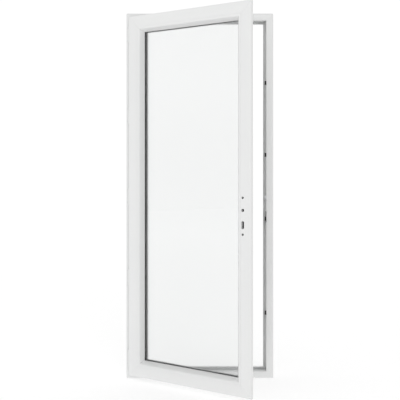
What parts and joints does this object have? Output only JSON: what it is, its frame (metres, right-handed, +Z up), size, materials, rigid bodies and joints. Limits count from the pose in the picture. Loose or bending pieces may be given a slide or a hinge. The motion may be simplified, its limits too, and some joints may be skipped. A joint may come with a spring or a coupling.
{
  "type": "glass door",
  "caption": "Fully glazed white side door in a four-sided hollow-profile frame, hinged on the left and opening to the front, with a multipoint lock and no handle.",
  "frame": {"origin": "middle of the frame's underside, halfway through its depth", "axes": "+X to the lock side, +Y from the front face to the back, +Z up"},
  "size_m": [0.81, 0.5025, 2.01],
  "materials": {
    "white_profile": "smooth extruded profile, satin gloss",
    "galvanised": "galvanised sheet",
    "seal_rubber": "soft light grey weather seal",
    "glazing_rubber": "soft light grey glazing gasket",
    "black_keep": "moulded black keep",
    "plated_steel": "zinc plated steel",
    "case_steel": "black zinc plate",
    "bolt_steel": "polished nickel plate",
    "white_hinge": "white powder coat",
    "glass": "clear float glass",
    "black_spacer": "warm-edge spacer bar",
    "sealant": "cured sealant",
    "black_block": "moulded packer"
  },
  "bodies": {
    "frame": {"frame_head": "white_profile", "frame_sill": "white_profile", "frame_hinge_jamb": "white_profile", "frame_lock_jamb": "white_profile", "head_stiffener": "galvanised", "sill_stiffener": "galvanised", "hinge_jamb_stiffener": "galvanised", "lock_jamb_stiffener": "galvanised", "frame_seal": "seal_rubber", "roller_keep_1": "black_keep", "roller_keep_2": "black_keep", "roller_keep_3": "black_keep", "bolt_keep": "black_keep", "latch_keep": "plated_steel", "keep_screws": "plated_steel", "frame_hinge_1": "white_hinge", "frame_hinge_2": "white_hinge", "frame_hinge_3": "white_hinge", "frame_hinge_4": "white_hinge", "frame_hinge_5": "white_hinge", "hinge_pins": "plated_steel", "frame_hinge_screws": "plated_steel"},
    "leaf": {"leaf_top_rail": "white_profile", "leaf_bottom_rail": "white_profile", "leaf_hinge_stile": "white_profile", "leaf_lock_stile": "white_profile", "top_rail_stiffener": "galvanised", "bottom_rail_stiffener": "galvanised", "hinge_stile_stiffener": "galvanised", "lock_stile_stiffener": "galvanised", "top_bead": "white_profile", "bottom_bead": "white_profile", "hinge_bead": "white_profile", "lock_bead": "white_profile", "front_pane": "glass", "back_pane": "glass", "spacer_bar": "black_spacer", "edge_sealant": "sealant", "front_gasket": "glazing_rubber", "back_gasket": "glazing_rubber", "setting_blocks": "black_block", "leaf_seal": "seal_rubber", "leaf_hinge_1": "white_hinge", "leaf_hinge_2": "white_hinge", "leaf_hinge_3": "white_hinge", "leaf_hinge_4": "white_hinge", "leaf_hinge_5": "white_hinge", "leaf_hinge_screws": "plated_steel", "faceplate": "plated_steel", "lock_case": "case_steel", "faceplate_screws": "plated_steel"},
    "latch": {"latch_bolt": "bolt_steel"},
    "bolt": {"dead_bolt": "bolt_steel"},
    "follower": {"follower": "case_steel"},
    "upper_drive": {"upper_rod": "plated_steel", "upper_rollers": "plated_steel"},
    "lower_drive": {"lower_rod": "plated_steel", "lower_roller": "plated_steel"}
  },
  "joints": [
    {"name": "leaf_swing", "type": "hinge", "parent": "frame", "child": "leaf", "pos_m": [-0.388, -0.043, 0], "axis": [0, 0, -1], "range_deg": [-32.5, 65]},
    {"name": "latch_slide", "type": "slide", "parent": "leaf", "child": "latch", "axis": [0.8434, -0.5373, 0], "range_m": [-0.0092, 0], "stiffness_N_per_m": 250, "springref_m": 0.004},
    {"name": "bolt_slide", "type": "slide", "parent": "leaf", "child": "bolt", "axis": [0.8434, -0.5373, 0], "range_m": [0, 0.016]},
    {"name": "upper_rod_slide", "type": "slide", "parent": "leaf", "child": "upper_drive", "axis": [0, 0, 1], "range_m": [0, 0.0165]},
    {"name": "lower_rod_slide", "type": "slide", "parent": "leaf", "child": "lower_drive", "axis": [0, 0, -1], "range_m": [0, 0.0165]},
    {"name": "handle_turn", "type": "hinge", "parent": "leaf", "child": "follower", "pos_m": [0.22891, -0.41468, 0.951], "axis": [-0.5373, -0.8434, 0], "range_deg": [0, 45]}
  ],
  "couplings": [
    {"joint": "lower_rod_slide", "follows": "upper_rod_slide", "ratio": 1},
    {"joint": "handle_turn", "follows": "upper_rod_slide", "rad_per_m": 47.6}
  ]
}
